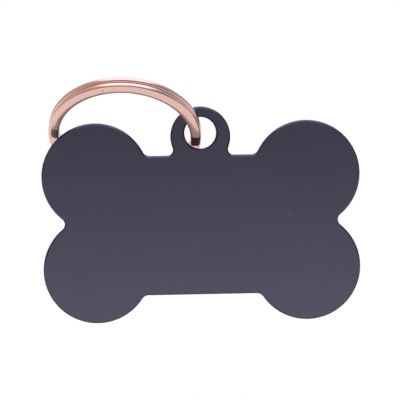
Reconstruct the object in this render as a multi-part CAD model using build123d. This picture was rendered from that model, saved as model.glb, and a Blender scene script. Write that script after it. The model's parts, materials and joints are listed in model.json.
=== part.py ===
from build123d import *

import os
from itertools import combinations
from math import acos, atan, cos, degrees, dist, hypot, inf, pi, radians, sin, sqrt

# Bone-shaped pet tag on a split ring, in millimetres, with +Z up.
# The tag hangs upright in the XZ plane and faces -Y. The ring goes through the tab's hole from front
# to back, leans over as far as the hole lets it, and passes behind the upper left lobe.
# The origin is the middle of the ring's loop, where a collar's own ring goes.

# Tag plate
PLATE_THICKNESS = 1.0
LOBE_RADIUS = 6.42
LOBE_SPACING_X = 25.26
NOTCH_DEPTH = 3.28
SHAFT_TOP = 8.0
SHAFT_BOTTOM = 8.75
NOTCH_FILLET = 0.8
CORNER_FILLET = 0.9
EDGE_BEVEL = 0.2

# Tab on the plate's top edge, and the hole in it
TAB_RADIUS = 3.58
TAB_RISE = 2.25
NECK_FILLET = 0.7
HOLE_DIAMETER = 3.8
HOLE_RISE = 0.44

# Split ring: about two turns of one flat wire with crowned edges
RING_DIAMETER = 18.3
WIRE_WIDTH = 1.2
WIRE_THICKNESS = 0.8
WIRE_CROWN = 0.12
COIL_GAP = 0.08
CRANK_START = 215.0
CRANK_ARC = 20.0
CRANK_SECTIONS = 9
END_GAP = 0.25
END_BEVEL = 0.15

# How the ring sits in the hole and behind the lobe
HOLE_PLACE = 5.5
WIRE_OFFSET = 0.45
HOLE_CLEARANCE = 0.15
LOBE_CLEARANCE = 0.2
STEEPEST_ROLL = 60.0
ROLL_HALVINGS = 25
RIM_STEPS = 720
GAP_STEP = 2

# Places on the plate, from the middle of the bone
LOBE_SPACING_Z = 2 * sqrt(LOBE_RADIUS**2 - (LOBE_RADIUS - NOTCH_DEPTH) ** 2)
TAB_HEIGHT = SHAFT_TOP + TAB_RISE
HOLE_HEIGHT = TAB_HEIGHT + HOLE_RISE

# The ring's wire: middle radius, half its flat's width, step between the coils, and the turns at its ends
WIRE_RADIUS = (RING_DIAMETER - WIRE_WIDTH) / 2
WIRE_FLAT = WIRE_WIDTH / 2 - WIRE_CROWN
COIL_PITCH = WIRE_THICKNESS + COIL_GAP
COIL_STACK = COIL_PITCH + WIRE_THICKNESS
COIL_ARC = 360 - CRANK_ARC - degrees(END_GAP / WIRE_RADIUS)
CRANK_END = CRANK_START + CRANK_ARC
FRONT_END = CRANK_START - COIL_ARC
BACK_END = CRANK_END + COIL_ARC


def lean_in_bore(diameter, length):
    """Least angle between ring and plate at which both coils still pass through a bore of that size."""
    free_height = 2 * sqrt((diameter / 2) ** 2 - (WIRE_OFFSET + WIRE_FLAT) ** 2)
    diagonal = hypot(free_height, length)
    tip = acos((COIL_STACK + 2 * HOLE_CLEARANCE) / diagonal) - atan(length / free_height)
    return 90 - degrees(tip)


def ring_lean():
    """Lean at which the coils come up against the hole's straight bore, or the rims of its bevels."""
    bore = lean_in_bore(HOLE_DIAMETER, PLATE_THICKNESS - 2 * EDGE_BEVEL)
    rims = lean_in_bore(HOLE_DIAMETER + 2 * EDGE_BEVEL, PLATE_THICKNESS)
    return max(bore, rims)


def ring_plane(roll):
    """Plane of the ring about its middle, for a roll in degrees: X to its right end, Z out of its front."""
    roll = radians(roll)
    lean = radians(ring_lean())
    to_right = Vector(cos(roll), 0, -sin(roll))
    to_front = Vector(-sin(roll) * sin(lean), -cos(lean), -cos(roll) * sin(lean))
    return Plane(origin=(0, 0, 0), x_dir=to_right, z_dir=to_front)


def hole_centre(roll):
    """Middle of the tab's hole, at half the plate's thickness. The tag swings about X through it."""
    place = radians(HOLE_PLACE)
    on_wire = Vector(WIRE_RADIUS * cos(place), WIRE_RADIUS * sin(place), 0)
    return ring_plane(roll).from_local_coords(on_wire) + Vector(WIRE_OFFSET, 0, 0)


def lobe_gap(roll):
    """Least gap from the upper left lobe's flat back to the ring's flat front, where the two cross."""
    ring = ring_plane(roll)
    lobe_drop = HOLE_HEIGHT - LOBE_SPACING_Z / 2
    lobe = hole_centre(roll) + Vector(-LOBE_SPACING_X / 2, PLATE_THICKNESS / 2, -lobe_drop)
    gap = inf
    for step in range(RIM_STEPS):
        turn = pi * step / RIM_STEPS
        on_rim = lobe + (LOBE_RADIUS - EDGE_BEVEL) * Vector(cos(turn), 0, sin(turn))
        seen = ring.to_local_coords(on_rim)
        if abs(hypot(seen.X, seen.Y) - WIRE_RADIUS) < WIRE_FLAT:
            gap = min(gap, seen.Z - COIL_STACK / 2)
    return gap


def ring_roll():
    """Least roll, in degrees, that lifts the ring's left end clear of the lobe."""
    low, high = 0, STEEPEST_ROLL
    for _ in range(ROLL_HALVINGS):
        middle = (low + high) / 2
        if lobe_gap(middle) < LOBE_CLEARANCE:
            low = middle
        else:
            high = middle
    return high


def round_corners(outline, nearest, farthest, radius):
    """Fillet the outline's corners that lie between two distances from its middle line."""
    corners = outline.vertices().filter_by(lambda corner: nearest < abs(corner.X) < farthest)
    return fillet(corners, radius)


def bone_outline():
    """Plate seen from the front, about the middle of the bone: four lobes, the shaft and the tab."""
    half_x = LOBE_SPACING_X / 2
    half_z = LOBE_SPACING_Z / 2
    shaft_middle = (SHAFT_TOP - SHAFT_BOTTOM) / 2
    outline = Pos(0, shaft_middle) * Rectangle(LOBE_SPACING_X, SHAFT_TOP + SHAFT_BOTTOM)
    outline += Pos(0, TAB_HEIGHT) * Rot(0, 0, -90) * Circle(TAB_RADIUS)
    for side, inward in ((-1, 0), (1, 180)):
        for level in (-1, 1):
            outline += Pos(side * half_x, level * half_z) * Rot(0, 0, inward) * Circle(LOBE_RADIUS)
    outline = round_corners(outline, half_x, half_x + LOBE_RADIUS, NOTCH_FILLET)
    outline = round_corners(outline, TAB_RADIUS, half_x, CORNER_FILLET)
    return round_corners(outline, 0, TAB_RADIUS, NECK_FILLET)


def tag_plate(roll):
    """Stamped plate with its tab, its hole and bevelled edges."""
    outline = bone_outline() - Pos(0, HOLE_HEIGHT) * Circle(HOLE_DIAMETER / 2)
    plate = extrude(Plane.XZ * outline, PLATE_THICKNESS / 2, both=True)
    plate = chamfer(plate.faces().filter_by(Axis.Y).edges(), EDGE_BEVEL)
    return Pos(hole_centre(roll) - Vector(0, 0, HOLE_HEIGHT)) * plate


def wire_level(turn):
    """Level of the wire's middle along the ring's axis: front coil, crank, then back coil."""
    share = min(max((turn - CRANK_START) / CRANK_ARC, 0), 1)
    return COIL_PITCH * (0.5 - share**2 * (3 - 2 * share))


def wire_section(turn):
    """Wire's section in the ring's own frame, at a turn in degrees: two flats and two crowned edges."""
    half = WIRE_THICKNESS / 2
    outer = ThreePointArc((WIRE_FLAT, -half), (WIRE_WIDTH / 2, 0), (WIRE_FLAT, half))
    inner = ThreePointArc((-WIRE_FLAT, half), (-WIRE_WIDTH / 2, 0), (-WIRE_FLAT, -half))
    front = Line(outer @ 1, inner @ 0)
    back = Line(inner @ 1, outer @ 0)
    section = Plane.XZ * make_face([outer, front, inner, back])
    return Rot(0, 0, turn) * Pos(WIRE_RADIUS, 0, wire_level(turn)) * section


def coil(start, end):
    """One coil that winds on from its start turn, with a bevelled wire end at the turn named end."""
    turns = revolve(wire_section(start), Axis.Z, COIL_ARC)
    end_face = turns.faces().sort_by_distance(wire_section(end).center())[0]
    return chamfer(end_face.edges(), END_BEVEL)


def split_ring(roll):
    """Two coils joined by the crank, as one wire."""
    steps = [i / (CRANK_SECTIONS - 1) for i in range(CRANK_SECTIONS)]
    crank = loft([wire_section(CRANK_START + CRANK_ARC * step) for step in steps])
    wire = coil(FRONT_END, FRONT_END) + crank + coil(CRANK_END, BACK_END)
    return ring_plane(roll).location * wire


def least_self_gap():
    """Least distance between points on the wire's flat sides that lie over half a turn apart."""
    points = []
    for along in range(0, int(BACK_END - FRONT_END) + 1, GAP_STEP):
        turn = FRONT_END + along
        for side in (-1, 1):
            level = wire_level(turn) + side * WIRE_THICKNESS / 2
            place = (WIRE_RADIUS * cos(radians(turn)), WIRE_RADIUS * sin(radians(turn)), level)
            points.append((along, place))
    return min(dist(a[1], b[1]) for a, b in combinations(points, 2) if b[0] - a[0] > 180)


os.makedirs("parts", exist_ok=True)
roll = ring_roll()
for name, piece in (("tag_plate", tag_plate(roll)), ("split_ring", split_ring(roll))):
    export_step(piece, f"parts/{name}.step")
    print(f"{name}: {len(piece.solids())} solid, {piece.volume:.2f} mm3")
print(f"ring leans {ring_lean():.2f} degrees to the plate and rolls {roll:.2f} degrees")
print(f"tag swings through {180 - 2 * ring_lean():.2f} degrees about X at {hole_centre(roll)}")
print(f"ring's axis is {ring_plane(roll).z_dir}")
print(f"least gap of the wire to itself is {least_self_gap():.3f} mm")
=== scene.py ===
import json
from math import cos, degrees, pi, radians, sin

import bmesh
import bpy
from mathutils import Matrix, Quaternion, Vector


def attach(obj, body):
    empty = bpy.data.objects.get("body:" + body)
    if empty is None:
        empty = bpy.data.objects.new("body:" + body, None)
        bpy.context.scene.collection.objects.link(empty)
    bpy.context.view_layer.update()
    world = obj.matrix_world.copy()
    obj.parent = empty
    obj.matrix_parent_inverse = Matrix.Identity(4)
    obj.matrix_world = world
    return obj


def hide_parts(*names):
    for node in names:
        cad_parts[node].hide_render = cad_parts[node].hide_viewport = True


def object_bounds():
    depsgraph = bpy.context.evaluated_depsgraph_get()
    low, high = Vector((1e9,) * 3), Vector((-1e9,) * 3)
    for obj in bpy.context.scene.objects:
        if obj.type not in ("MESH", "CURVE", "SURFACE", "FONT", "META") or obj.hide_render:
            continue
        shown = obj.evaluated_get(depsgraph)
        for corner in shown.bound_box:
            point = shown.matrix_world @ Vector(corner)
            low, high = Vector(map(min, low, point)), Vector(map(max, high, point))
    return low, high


# Pet id tag: a bone-shaped anodised plate that hangs on a copper-plated split ring.
# Lengths are in metres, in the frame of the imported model, and angles are in degrees.

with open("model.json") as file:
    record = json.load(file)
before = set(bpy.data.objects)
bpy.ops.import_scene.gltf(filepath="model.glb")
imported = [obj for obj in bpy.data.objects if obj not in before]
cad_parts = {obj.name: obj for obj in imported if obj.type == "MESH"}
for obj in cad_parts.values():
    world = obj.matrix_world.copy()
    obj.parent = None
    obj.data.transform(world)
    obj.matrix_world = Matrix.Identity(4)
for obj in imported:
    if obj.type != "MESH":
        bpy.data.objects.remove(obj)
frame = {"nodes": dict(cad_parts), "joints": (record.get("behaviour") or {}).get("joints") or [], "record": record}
cad_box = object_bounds()

MM = 0.001

# Camera
CAMERA_AZIMUTH = -1.56
CAMERA_ELEVATION = 4.87
CAMERA_ROLL = -0.92
CAMERA_DISTANCE = 185.4 * MM
CAMERA_CLIP_START = 10 * MM
CAMERA_LENS = 139.05
AIM_FROM_HOLE = Vector((-0.147, 0, -8.068)) * MM

# Floor: the grey lights the tag, and the pale coat with its glow is what shows
FLOOR_DROP = 14 * MM
FLOOR_FRONT = 220 * MM
FLOOR_BACK = 600 * MM
FLOOR_HALF_WIDTH = 500 * MM
FLOOR_GREY = (0.75, 0.75, 0.75, 1)
FLOOR_PALE = (0.86, 0.82, 0.78, 1)
FLOOR_GLOW = 0.54

# Room round the tag
WHITE = (1, 1, 1, 1)
DIM_ROOM = (0.21, 0.21, 0.23, 1)
SIDE_WALL = (0.6, 0.555, 0.545, 1)
WARM_CEILING = (0.655, 0.58, 0.545, 1)
COOL_CEILING = (0.38, 0.41, 0.49, 1)
SKYLIGHT = (1.36, 1.5, 1.68, 1)
ROOM_LIGHT = 0.6

# Where one part of the room turns into the next: a unit direction's part to the right, back or up
FRONT_TO_BACK = (-0.75, 0.1)
MIDDLE_TO_SIDES = (0.35, 0.7)
WALL_TO_CEILING = (0.3, 0.65)
WARM_TO_COOL = (-0.5, 0.5)
SKYLIGHT_LEFT = (-0.6, -0.3)
SKYLIGHT_RIGHT = (0.68, 0.5)
SKYLIGHT_LOW = (0.6, 0.8)

# Lamps, with their power in watts
SOFTBOX_PLACE = Vector((0, -20, 220)) * MM
SOFTBOX_SIZE = (240 * MM, 160 * MM)
SOFTBOX_POWER = 0.04
SOFTBOX_WHITE = (1, 1, 1)
WINDOW_PLACE = Vector((180, 80, 145)) * MM
WINDOW_SIZE = (110 * MM, 90 * MM)
WINDOW_POWER = 0.01
WINDOW_BLUE = (0.2, 0.75, 1)

# Wire of the split ring
RING_DIAMETER = 18.3 * MM
WIRE_WIDTH = 1.32 * MM
WIRE_THICKNESS = 0.83 * MM
WIRE_ROUNDING = 0.24 * MM
EDGE_CROWN = 18
FRONT_CROWN = 6
BACK_CROWN = 28
COIL_GAP = 0.02 * MM
CRANK_START = 215
CRANK_ARC = 20
END_GAP = 0.25 * MM
END_ROUNDING = 0.1 * MM
TURN_STEP = 0.8
CROWN_STEPS = 4
CORNER_STEPS = 5
END_STEPS = 4

WIRE_RADIUS = (RING_DIAMETER - WIRE_WIDTH) / 2
COIL_PITCH = WIRE_THICKNESS + COIL_GAP
COIL_ARC = 360 - CRANK_ARC - degrees(END_GAP / WIRE_RADIUS)
FRONT_END = CRANK_START - COIL_ARC
BACK_END = CRANK_START + CRANK_ARC + COIL_ARC

# Effects that both finishes share, with scales in cells to a millimetre
PATCH_DETAIL = 3.0
PATCH_WEIGHT = 0.7
GRAIN_WEIGHT = 0.3
NOISE_RANGE = (0.3, 0.7)
SCRATCH_BEND_SCALE = 0.4
SCRATCH_BREAK_SCALE = 0.55
SCRATCH_BREAK_DETAIL = 1.0
SCRATCH_BREAK = (0.68, 0.72)
BUMP_DEPTH = 0.004 * MM

# Finish of the plate
ANODISED_VIOLET_GREY = (0.121, 0.114, 0.164, 1)
# Rim colours are painted light: painted shade on the bevels, and a painted blue skylight reflection on the bevels
# that face up
PAINTED_SHADE_RIM = (0.055, 0.054, 0.07, 1)
PAINTED_SKY_REFLECTION_RIM = (0.056, 0.058, 0.1, 1)
PALE_SPECK = (0.3, 0.3, 0.33, 1)
PLATE_METALLIC = 0.85
PLATE_GLOSS = {"Patch Scale": 0.12, "Grain Scale": 9.0, "Low": 0.3, "High": 0.36}
PLATE_MARKS = {"Cell Scale": 0.36, "Speck Size": 0.03, "Speck Share": 0.16}
PLATE_BUMP = 0.25
FACE_TO_BEVEL = (0.98, 0.8)
SIDE_TO_BEVEL = (0.3, 0.6)
SHADED_TO_REFLECTING_RIM = (0.1, 0.45)
BEVEL_BURNISH = 0.14
SCRATCH_STRENGTH = 0.3
MARK_STRENGTH = 0.6

# Finish of the wire
COPPER = (0.76, 0.5, 0.44, 1)
WARM_COPPER = (0.78, 0.49, 0.407, 1)
# Dark colour for tarnished pits, and for the painted shade in the groove between the coils
TARNISH_AND_SHADE = (0.2, 0.1, 0.08, 1)
WIRE_METALLIC = 1.0
WIRE_GLOSS = {"Patch Scale": 0.25, "Grain Scale": 6.0, "Low": 0.1, "High": 0.15}
WIRE_MARKS = {"Cell Scale": 1.1, "Speck Size": 0.11, "Speck Share": 0.06}
WIRE_BUMP = 0.3
DRAWN_LINE_SCALE = 14.0
DRAWN_LINE_DETAIL = 3.0
DRAWN_LINE_STRETCH = 0.25
COPPER_PATCH_SCALE = 0.35
COPPER_TO_WARM = (0.4, 0.65)
OUTSIDE_TO_GROOVE = (0.14, 0.04)
# Strength of the painted shade where the coils meet
GROOVE_SHADE = 0.03
PIT_TARNISH = 0.7


def feed(tree, value, socket):
    """Give a socket a plain value, or link another node's output to it."""
    if isinstance(value, bpy.types.NodeSocket):
        tree.links.new(value, socket)
    else:
        socket.default_value = value


def node(tree, kind, sockets=None, **settings):
    """Add a shader node with its settings, and fill its input sockets by name or number."""
    made = tree.nodes.new("ShaderNode" + kind)
    for name, value in settings.items():
        setattr(made, name, value)
    for name, value in (sockets or {}).items():
        feed(tree, value, made.inputs[name])
    return made


def math(tree, operation, *terms):
    """Output of a Math node."""
    return node(tree, "Math", dict(enumerate(terms)), operation=operation).outputs[0]


def ramp(tree, value, start, end, low=0.0, high=1.0):
    """Output that goes smoothly from low to high as a value goes from start to end."""
    sockets = {"Value": value, "From Min": start, "From Max": end, "To Min": low, "To Max": high}
    return node(tree, "MapRange", sockets, interpolation_type="SMOOTHSTEP").outputs[0]


def mix(tree, share, first, second):
    """Colour between a first and a second colour, by a share."""
    return node(tree, "Mix", {0: share, 6: first, 7: second}, data_type="RGBA").outputs[2]


def noise(tree, place, scale, detail=2.0):
    """Output of a noise texture, about 0.5 in the middle."""
    return node(tree, "TexNoise", {"Vector": place, "Scale": scale, "Detail": detail}).outputs[0]


def new_group(name, inputs, outputs):
    """Shader node group with float or vector inputs (name, kind, value) and float outputs."""
    group = bpy.data.node_groups.new(name, "ShaderNodeTree")
    for socket_name, kind, value in inputs:
        socket = group.interface.new_socket(socket_name, in_out="INPUT", socket_type="NodeSocket" + kind)
        if value is not None:
            socket.default_value = value
    for socket_name in outputs:
        group.interface.new_socket(socket_name, in_out="OUTPUT", socket_type="NodeSocketFloat")
    start = group.nodes.new("NodeGroupInput")
    end = group.nodes.new("NodeGroupOutput")
    return group, start.outputs, end.inputs


def place_group(tree, group, place, values):
    """Place a node group in a material with its own values, and give its outputs."""
    return node(tree, "Group", {"Place": place, **values}, node_tree=group).outputs


def uneven_gloss():
    """Roughness that drifts between two values in broad patches, with a fine grain on top."""
    inputs = (
        ("Place", "Vector", None),
        ("Patch Scale", "Float", 0.3),
        ("Grain Scale", "Float", 10.0),
        ("Low", "Float", 0.2),
        ("High", "Float", 0.3),
    )
    group, given, put_out = new_group("uneven gloss", inputs, ("Roughness", "Grain"))
    patches = noise(group, given["Place"], given["Patch Scale"], PATCH_DETAIL)
    grain = noise(group, given["Place"], given["Grain Scale"])
    broad = math(group, "MULTIPLY", patches, PATCH_WEIGHT)
    fine = math(group, "MULTIPLY", grain, GRAIN_WEIGHT)
    sockets = {
        "Value": math(group, "ADD", broad, fine),
        "From Min": NOISE_RANGE[0],
        "From Max": NOISE_RANGE[1],
        "To Min": given["Low"],
        "To Max": given["High"],
    }
    feed(group, node(group, "MapRange", sockets).outputs[0], put_out["Roughness"])
    feed(group, grain, put_out["Grain"])
    return group


def specks_and_scratches():
    """Masks of tiny round specks in a share of the cells of a grid, and of short fine scratches."""
    inputs = (
        ("Place", "Vector", None),
        ("Cell Scale", "Float", 0.35),
        ("Speck Size", "Float", 0.02),
        ("Speck Share", "Float", 0.15),
        ("Scratch Scale", "Float", 0.25),
        ("Scratch Width", "Float", 0.006),
    )
    group, given, put_out = new_group("specks and scratches", inputs, ("Specks", "Scratches"))
    cells = node(group, "TexVoronoi", {"Vector": given["Place"], "Scale": given["Cell Scale"]})
    near = math(group, "LESS_THAN", cells.outputs["Distance"], given["Speck Size"])
    chosen = node(group, "SeparateColor", {0: cells.outputs["Color"]}).outputs[0]
    kept = math(group, "LESS_THAN", chosen, given["Speck Share"])
    feed(group, math(group, "MULTIPLY", near, kept), put_out["Specks"])
    sockets = {"Vector": given["Place"], "Scale": SCRATCH_BEND_SCALE}
    drift = node(group, "TexNoise", sockets).outputs["Color"]
    bent = node(group, "VectorMath", {0: given["Place"], 1: drift}, operation="ADD").outputs[0]
    sockets = {"Vector": bent, "Scale": given["Scratch Scale"]}
    lines = node(group, "TexVoronoi", sockets, feature="DISTANCE_TO_EDGE").outputs["Distance"]
    line = math(group, "LESS_THAN", lines, given["Scratch Width"])
    broken = noise(group, given["Place"], SCRATCH_BREAK_SCALE, SCRATCH_BREAK_DETAIL)
    stretch = ramp(group, broken, *SCRATCH_BREAK)
    feed(group, math(group, "MULTIPLY", line, stretch), put_out["Scratches"])
    return group


def new_material(name):
    """Material with a Principled shader, and the piece's own coordinates in millimetres."""
    material = bpy.data.materials.new(name)
    material.use_nodes = True
    tree = material.node_tree
    tree.nodes.clear()
    shader = node(tree, "BsdfPrincipled")
    node(tree, "OutputMaterial", {"Surface": shader.outputs[0]})
    sockets = {0: node(tree, "TexCoord").outputs["Object"], "Scale": 1 / MM}
    place = node(tree, "VectorMath", sockets, operation="SCALE").outputs[0]
    return material, tree, shader.inputs, place


def add_bump(tree, shader, height, strength):
    """Let a height make a fine bump on the shader's surface."""
    bump = node(tree, "Bump", {"Strength": strength, "Distance": BUMP_DEPTH, "Height": height})
    feed(tree, bump.outputs[0], shader["Normal"])


def anodised_plate(gloss, marks):
    """Satin anodised aluminium: dark violet grey, with bevels in painted shade that turn to a painted blue
    reflection of the skylight along the top.
    """
    material, tree, shader, place = new_material("satin anodised plate")
    gloss = place_group(tree, gloss, place, PLATE_GLOSS)
    marks = place_group(tree, marks, place, PLATE_MARKS)
    facing = node(tree, "SeparateXYZ", {0: node(tree, "TexCoord").outputs["Normal"]}).outputs
    flatness = math(tree, "ABSOLUTE", facing[1])
    off_face = ramp(tree, flatness, *FACE_TO_BEVEL)
    off_side = ramp(tree, flatness, *SIDE_TO_BEVEL)
    bevel = math(tree, "MULTIPLY", off_face, off_side)
    # Painted light on the bevels: painted shade where they don't face up, a painted blue skylight reflection where
    # they do
    rim = mix(tree, ramp(tree, facing[2], *SHADED_TO_REFLECTING_RIM), PAINTED_SHADE_RIM, PAINTED_SKY_REFLECTION_RIM)
    colour = mix(tree, bevel, ANODISED_VIOLET_GREY, rim)
    scratches = math(tree, "MULTIPLY", marks["Scratches"], SCRATCH_STRENGTH)
    pale = math(tree, "MAXIMUM", marks["Specks"], scratches)
    colour = mix(tree, math(tree, "MULTIPLY", pale, MARK_STRENGTH), colour, PALE_SPECK)
    feed(tree, colour, shader["Base Color"])
    shader["Metallic"].default_value = PLATE_METALLIC
    burnished = math(tree, "MULTIPLY", bevel, BEVEL_BURNISH)
    feed(tree, math(tree, "SUBTRACT", gloss["Roughness"], burnished), shader["Roughness"])
    add_bump(tree, shader, gloss["Grain"], PLATE_BUMP)
    return material


def drawn_lines(tree, radius, level, turn):
    """Noise that is drawn out into fine lines along the wire."""
    along = math(tree, "MULTIPLY", turn, DRAWN_LINE_STRETCH)
    place = node(tree, "CombineXYZ", {0: radius, 1: level, 2: along}).outputs[0]
    return noise(tree, place, DRAWN_LINE_SCALE, DRAWN_LINE_DETAIL)


def copper_wire(gloss, marks):
    """Polished copper plating, with fine drawn lines along the wire, tarnished pits, and painted shade between the
    coils.
    """
    material, tree, shader, place = new_material("polished copper wire")
    gloss = place_group(tree, gloss, place, WIRE_GLOSS)
    marks = place_group(tree, marks, place, WIRE_MARKS)
    x, y, level = node(tree, "SeparateXYZ", {0: place}).outputs
    squares = math(tree, "ADD", math(tree, "MULTIPLY", x, x), math(tree, "MULTIPLY", y, y))
    radius = math(tree, "SQRT", squares)
    turn = math(tree, "ARCTAN2", y, x)
    patches = noise(tree, place, COPPER_PATCH_SCALE)
    colour = mix(tree, ramp(tree, patches, *COPPER_TO_WARM), COPPER, WARM_COPPER)
    # Painted shade: the wire is darkened where the two coils meet
    groove = ramp(tree, math(tree, "ABSOLUTE", level), *OUTSIDE_TO_GROOVE)
    colour = mix(tree, math(tree, "MULTIPLY", groove, GROOVE_SHADE), colour, TARNISH_AND_SHADE)
    colour = mix(tree, math(tree, "MULTIPLY", marks["Specks"], PIT_TARNISH), colour, TARNISH_AND_SHADE)
    feed(tree, colour, shader["Base Color"])
    shader["Metallic"].default_value = WIRE_METALLIC
    feed(tree, gloss["Roughness"], shader["Roughness"])
    add_bump(tree, shader, drawn_lines(tree, radius, level, turn), WIRE_BUMP)
    return material


def wire_level(turn):
    """Level of the wire's middle along the ring's axis: front coil, crank, then back coil."""
    share = min(max((turn - CRANK_START) / CRANK_ARC, 0), 1)
    return COIL_PITCH * (0.5 - share**2 * (3 - 2 * share))


def half_profile(face_crown, inset):
    """Points over half the wire's section: crowned edge, rounded corner, crowned face, and down again."""
    edge = radians(EDGE_CROWN)
    face = radians(face_crown)
    width = WIRE_WIDTH / 2 - WIRE_ROUNDING
    height = WIRE_THICKNESS / 2 - WIRE_ROUNDING
    spread = sin(face) * sin(edge) - (1 - cos(face)) * (1 - cos(edge))
    face_reach = (width * sin(edge) - height * (1 - cos(edge))) / spread
    edge_reach = (height * sin(face) - width * (1 - cos(face))) / spread
    arcs = (
        (0, edge, CROWN_STEPS, edge_reach, width - edge_reach, 0),
        (edge, pi / 2 - face, CORNER_STEPS, 0, face_reach * sin(face), edge_reach * sin(edge)),
        (pi / 2 - face, pi / 2, CROWN_STEPS, face_reach, 0, height - face_reach),
    )
    outer = []
    for start, end, steps, reach, out, up in arcs:
        radius = reach + WIRE_ROUNDING - inset
        for step in range(steps):
            angle = start + (end - start) * step / steps
            outer.append((out + radius * cos(angle), up + radius * sin(angle)))
    middle = (0, WIRE_THICKNESS / 2 - inset)
    return outer + [middle] + [(-out, up) for out, up in reversed(outer)]


def wire_profile(inset):
    """Points round the wire, over its front face and back under its rounder back face."""
    back = half_profile(BACK_CROWN, inset)[1:-1]
    return half_profile(FRONT_CROWN, inset) + [(out, -up) for out, up in reversed(back)]


def wire_section(turn, inset):
    """Points round the wire at a turn in degrees."""
    level = wire_level(turn)
    to_wire = (cos(radians(turn)), sin(radians(turn)))
    points = []
    for out, up in wire_profile(inset):
        radius = WIRE_RADIUS + out
        points.append((radius * to_wire[0], radius * to_wire[1], level + up))
    return points


def wire_stations():
    """Turns along the wire and how far the section draws in there, which rounds off both cut ends."""
    reach = degrees(END_ROUNDING / WIRE_RADIUS)
    length = BACK_END - FRONT_END
    start = []
    for step in range(END_STEPS):
        rounded = sin(pi / 2 * step / END_STEPS)
        start.append((reach * rounded, END_ROUNDING * (1 - rounded)))
    steps = round((length - 2 * reach) / TURN_STEP)
    middle = [(reach + (length - 2 * reach) * step / steps, 0) for step in range(steps + 1)]
    end = [(length - along, inset) for along, inset in reversed(start)]
    return [(FRONT_END + along, inset) for along, inset in start + middle + end]


def ring_frame():
    """Turns the ring's own axes to the model's: X to its right end, Z out of its front."""
    to_front = Vector(frame["record"]["mounts"][0]["axis"]).normalized()
    to_right = to_front.cross(Vector((0, 1, 0))).normalized()
    return Matrix((to_right, to_front.cross(to_right), to_front)).transposed().to_4x4()


def split_ring_wire(material):
    """Split ring as one wound wire with crowned faces and edges, rounded corners and rounded ends."""
    shape = bmesh.new()
    rows = [[shape.verts.new(p) for p in wire_section(turn, inset)] for turn, inset in wire_stations()]
    for row, following in zip(rows, rows[1:]):
        for i in range(len(row)):
            shape.faces.new((row[i - 1], row[i], following[i], following[i - 1]))
    shape.faces.new(rows[0])
    shape.faces.new(list(reversed(rows[-1])))
    bmesh.ops.recalc_face_normals(shape, faces=shape.faces)
    mesh = bpy.data.meshes.new("split_ring_wire")
    shape.to_mesh(mesh)
    shape.free()
    mesh.shade_smooth()
    mesh.materials.append(material)
    ring = bpy.data.objects.new("split_ring_wire", mesh)
    bpy.context.scene.collection.objects.link(ring)
    ring.matrix_world = ring_frame()
    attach(ring, "ring")
    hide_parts("split_ring")


def hole_centre():
    """Middle of the tab's hole, where the tag's hinge is."""
    return Vector(frame["joints"][0]["pos_m"])


def camera():
    """Camera at the photograph's viewing angle."""
    aim = hole_centre() + AIM_FROM_HOLE
    azimuth = radians(CAMERA_AZIMUTH)
    elevation = radians(CAMERA_ELEVATION)
    toward = Vector((sin(azimuth) * cos(elevation), -cos(azimuth) * cos(elevation), sin(elevation)))
    lens = bpy.data.cameras.new("camera")
    lens.lens = CAMERA_LENS
    lens.clip_start = CAMERA_CLIP_START
    eye = bpy.data.objects.new("camera", lens)
    eye.location = aim + CAMERA_DISTANCE * toward
    roll = Quaternion((0, 0, 1), radians(CAMERA_ROLL))
    eye.rotation_euler = ((-toward).to_track_quat("-Z", "Y") @ roll).to_euler()
    bpy.context.scene.collection.objects.link(eye)
    bpy.context.scene.camera = eye


def shown_rays(tree):
    """Share that is 1 for rays that show the background: seen directly, in metal or through glass."""
    path = node(tree, "LightPath").outputs
    seen = math(tree, "MAXIMUM", path["Is Camera Ray"], path["Is Glossy Ray"])
    return math(tree, "MAXIMUM", seen, path["Is Transmission Ray"])


def floor_paint():
    """Grey where it lights the tag, and white with the tag's shadow where it shows."""
    material = bpy.data.materials.new("pale floor")
    material.use_nodes = True
    tree = material.node_tree
    tree.nodes.clear()
    lit = node(tree, "BsdfDiffuse", {"Color": FLOOR_GREY}).outputs[0]
    pale = node(tree, "BsdfDiffuse", {"Color": FLOOR_PALE}).outputs[0]
    glow = node(tree, "Emission", {"Color": WHITE, "Strength": FLOOR_GLOW}).outputs[0]
    shown = node(tree, "AddShader", {0: pale, 1: glow}).outputs[0]
    surface = node(tree, "MixShader", {0: shown_rays(tree), 1: lit, 2: shown}).outputs[0]
    node(tree, "OutputMaterial", {"Surface": surface})
    return material


def floor():
    """Pale floor below the hanging tag."""
    corners = (
        (-FLOOR_HALF_WIDTH, -FLOOR_FRONT, 0),
        (FLOOR_HALF_WIDTH, -FLOOR_FRONT, 0),
        (FLOOR_HALF_WIDTH, FLOOR_BACK, 0),
        (-FLOOR_HALF_WIDTH, FLOOR_BACK, 0),
    )
    mesh = bpy.data.meshes.new("floor")
    mesh.from_pydata(corners, [], [(0, 1, 2, 3)])
    mesh.materials.append(floor_paint())
    ground = bpy.data.objects.new("floor", mesh)
    ground.location = (0, 0, cad_box[0][2] - FLOOR_DROP)
    bpy.context.scene.collection.objects.link(ground)


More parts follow.
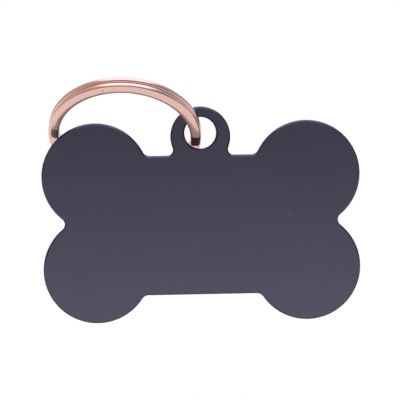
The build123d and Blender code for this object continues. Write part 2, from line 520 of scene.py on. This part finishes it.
def studio_world():
    """White background, and a soft room: dim on the camera's side, with a skylight in its ceiling."""
    world = bpy.data.worlds.new("studio")
    world.use_nodes = True
    tree = world.node_tree
    tree.nodes.clear()
    direction = node(tree, "TexCoord").outputs["Generated"]
    across, depth, height = node(tree, "SeparateXYZ", {0: direction}).outputs
    sideways = math(tree, "ABSOLUTE", across)
    walls = mix(tree, ramp(tree, sideways, *MIDDLE_TO_SIDES), WHITE, SIDE_WALL)
    room = mix(tree, ramp(tree, depth, *FRONT_TO_BACK), DIM_ROOM, walls)
    ceiling = mix(tree, ramp(tree, across, *WARM_TO_COOL), WARM_CEILING, COOL_CEILING)
    skylight = ramp(tree, height, *SKYLIGHT_LOW)
    skylight = math(tree, "MULTIPLY", skylight, ramp(tree, across, *SKYLIGHT_LEFT))
    skylight = math(tree, "MULTIPLY", skylight, ramp(tree, across, *SKYLIGHT_RIGHT))
    ceiling = mix(tree, skylight, ceiling, SKYLIGHT)
    room = mix(tree, ramp(tree, height, *WALL_TO_CEILING), room, ceiling)
    seen = node(tree, "LightPath").outputs["Is Camera Ray"]
    colour = mix(tree, seen, room, WHITE)
    strength = ramp(tree, shown_rays(tree), 0, 1, ROOM_LIGHT, 1.0)
    background = node(tree, "Background", {"Color": colour, "Strength": strength}).outputs[0]
    node(tree, "OutputWorld", {"Surface": background})
    bpy.context.scene.world = world


def soft_lamp(name, place, size, power, colour):
    """Soft rectangular lamp aimed at the tag."""
    lamp = bpy.data.lights.new(name, "AREA")
    lamp.shape = "RECTANGLE"
    lamp.size, lamp.size_y = size
    lamp.energy = power
    lamp.color = colour
    holder = bpy.data.objects.new(name, lamp)
    holder.location = place
    holder.rotation_euler = (-place).to_track_quat("-Z", "Y").to_euler()
    holder.visible_camera = False
    bpy.context.scene.collection.objects.link(holder)


def lights():
    """Large softbox overhead, and a cool window high on the right."""
    soft_lamp("overhead softbox", SOFTBOX_PLACE, SOFTBOX_SIZE, SOFTBOX_POWER, SOFTBOX_WHITE)
    soft_lamp("cool window", WINDOW_PLACE, WINDOW_SIZE, WINDOW_POWER, WINDOW_BLUE)


bpy.context.scene.view_settings.view_transform = "Standard"
camera()
studio_world()
lights()
floor()

shared_gloss = uneven_gloss()
shared_marks = specks_and_scratches()
frame["nodes"]["tag_plate"].material_slots[0].material = anodised_plate(shared_gloss, shared_marks)
split_ring_wire(copper_wire(shared_gloss, shared_marks))
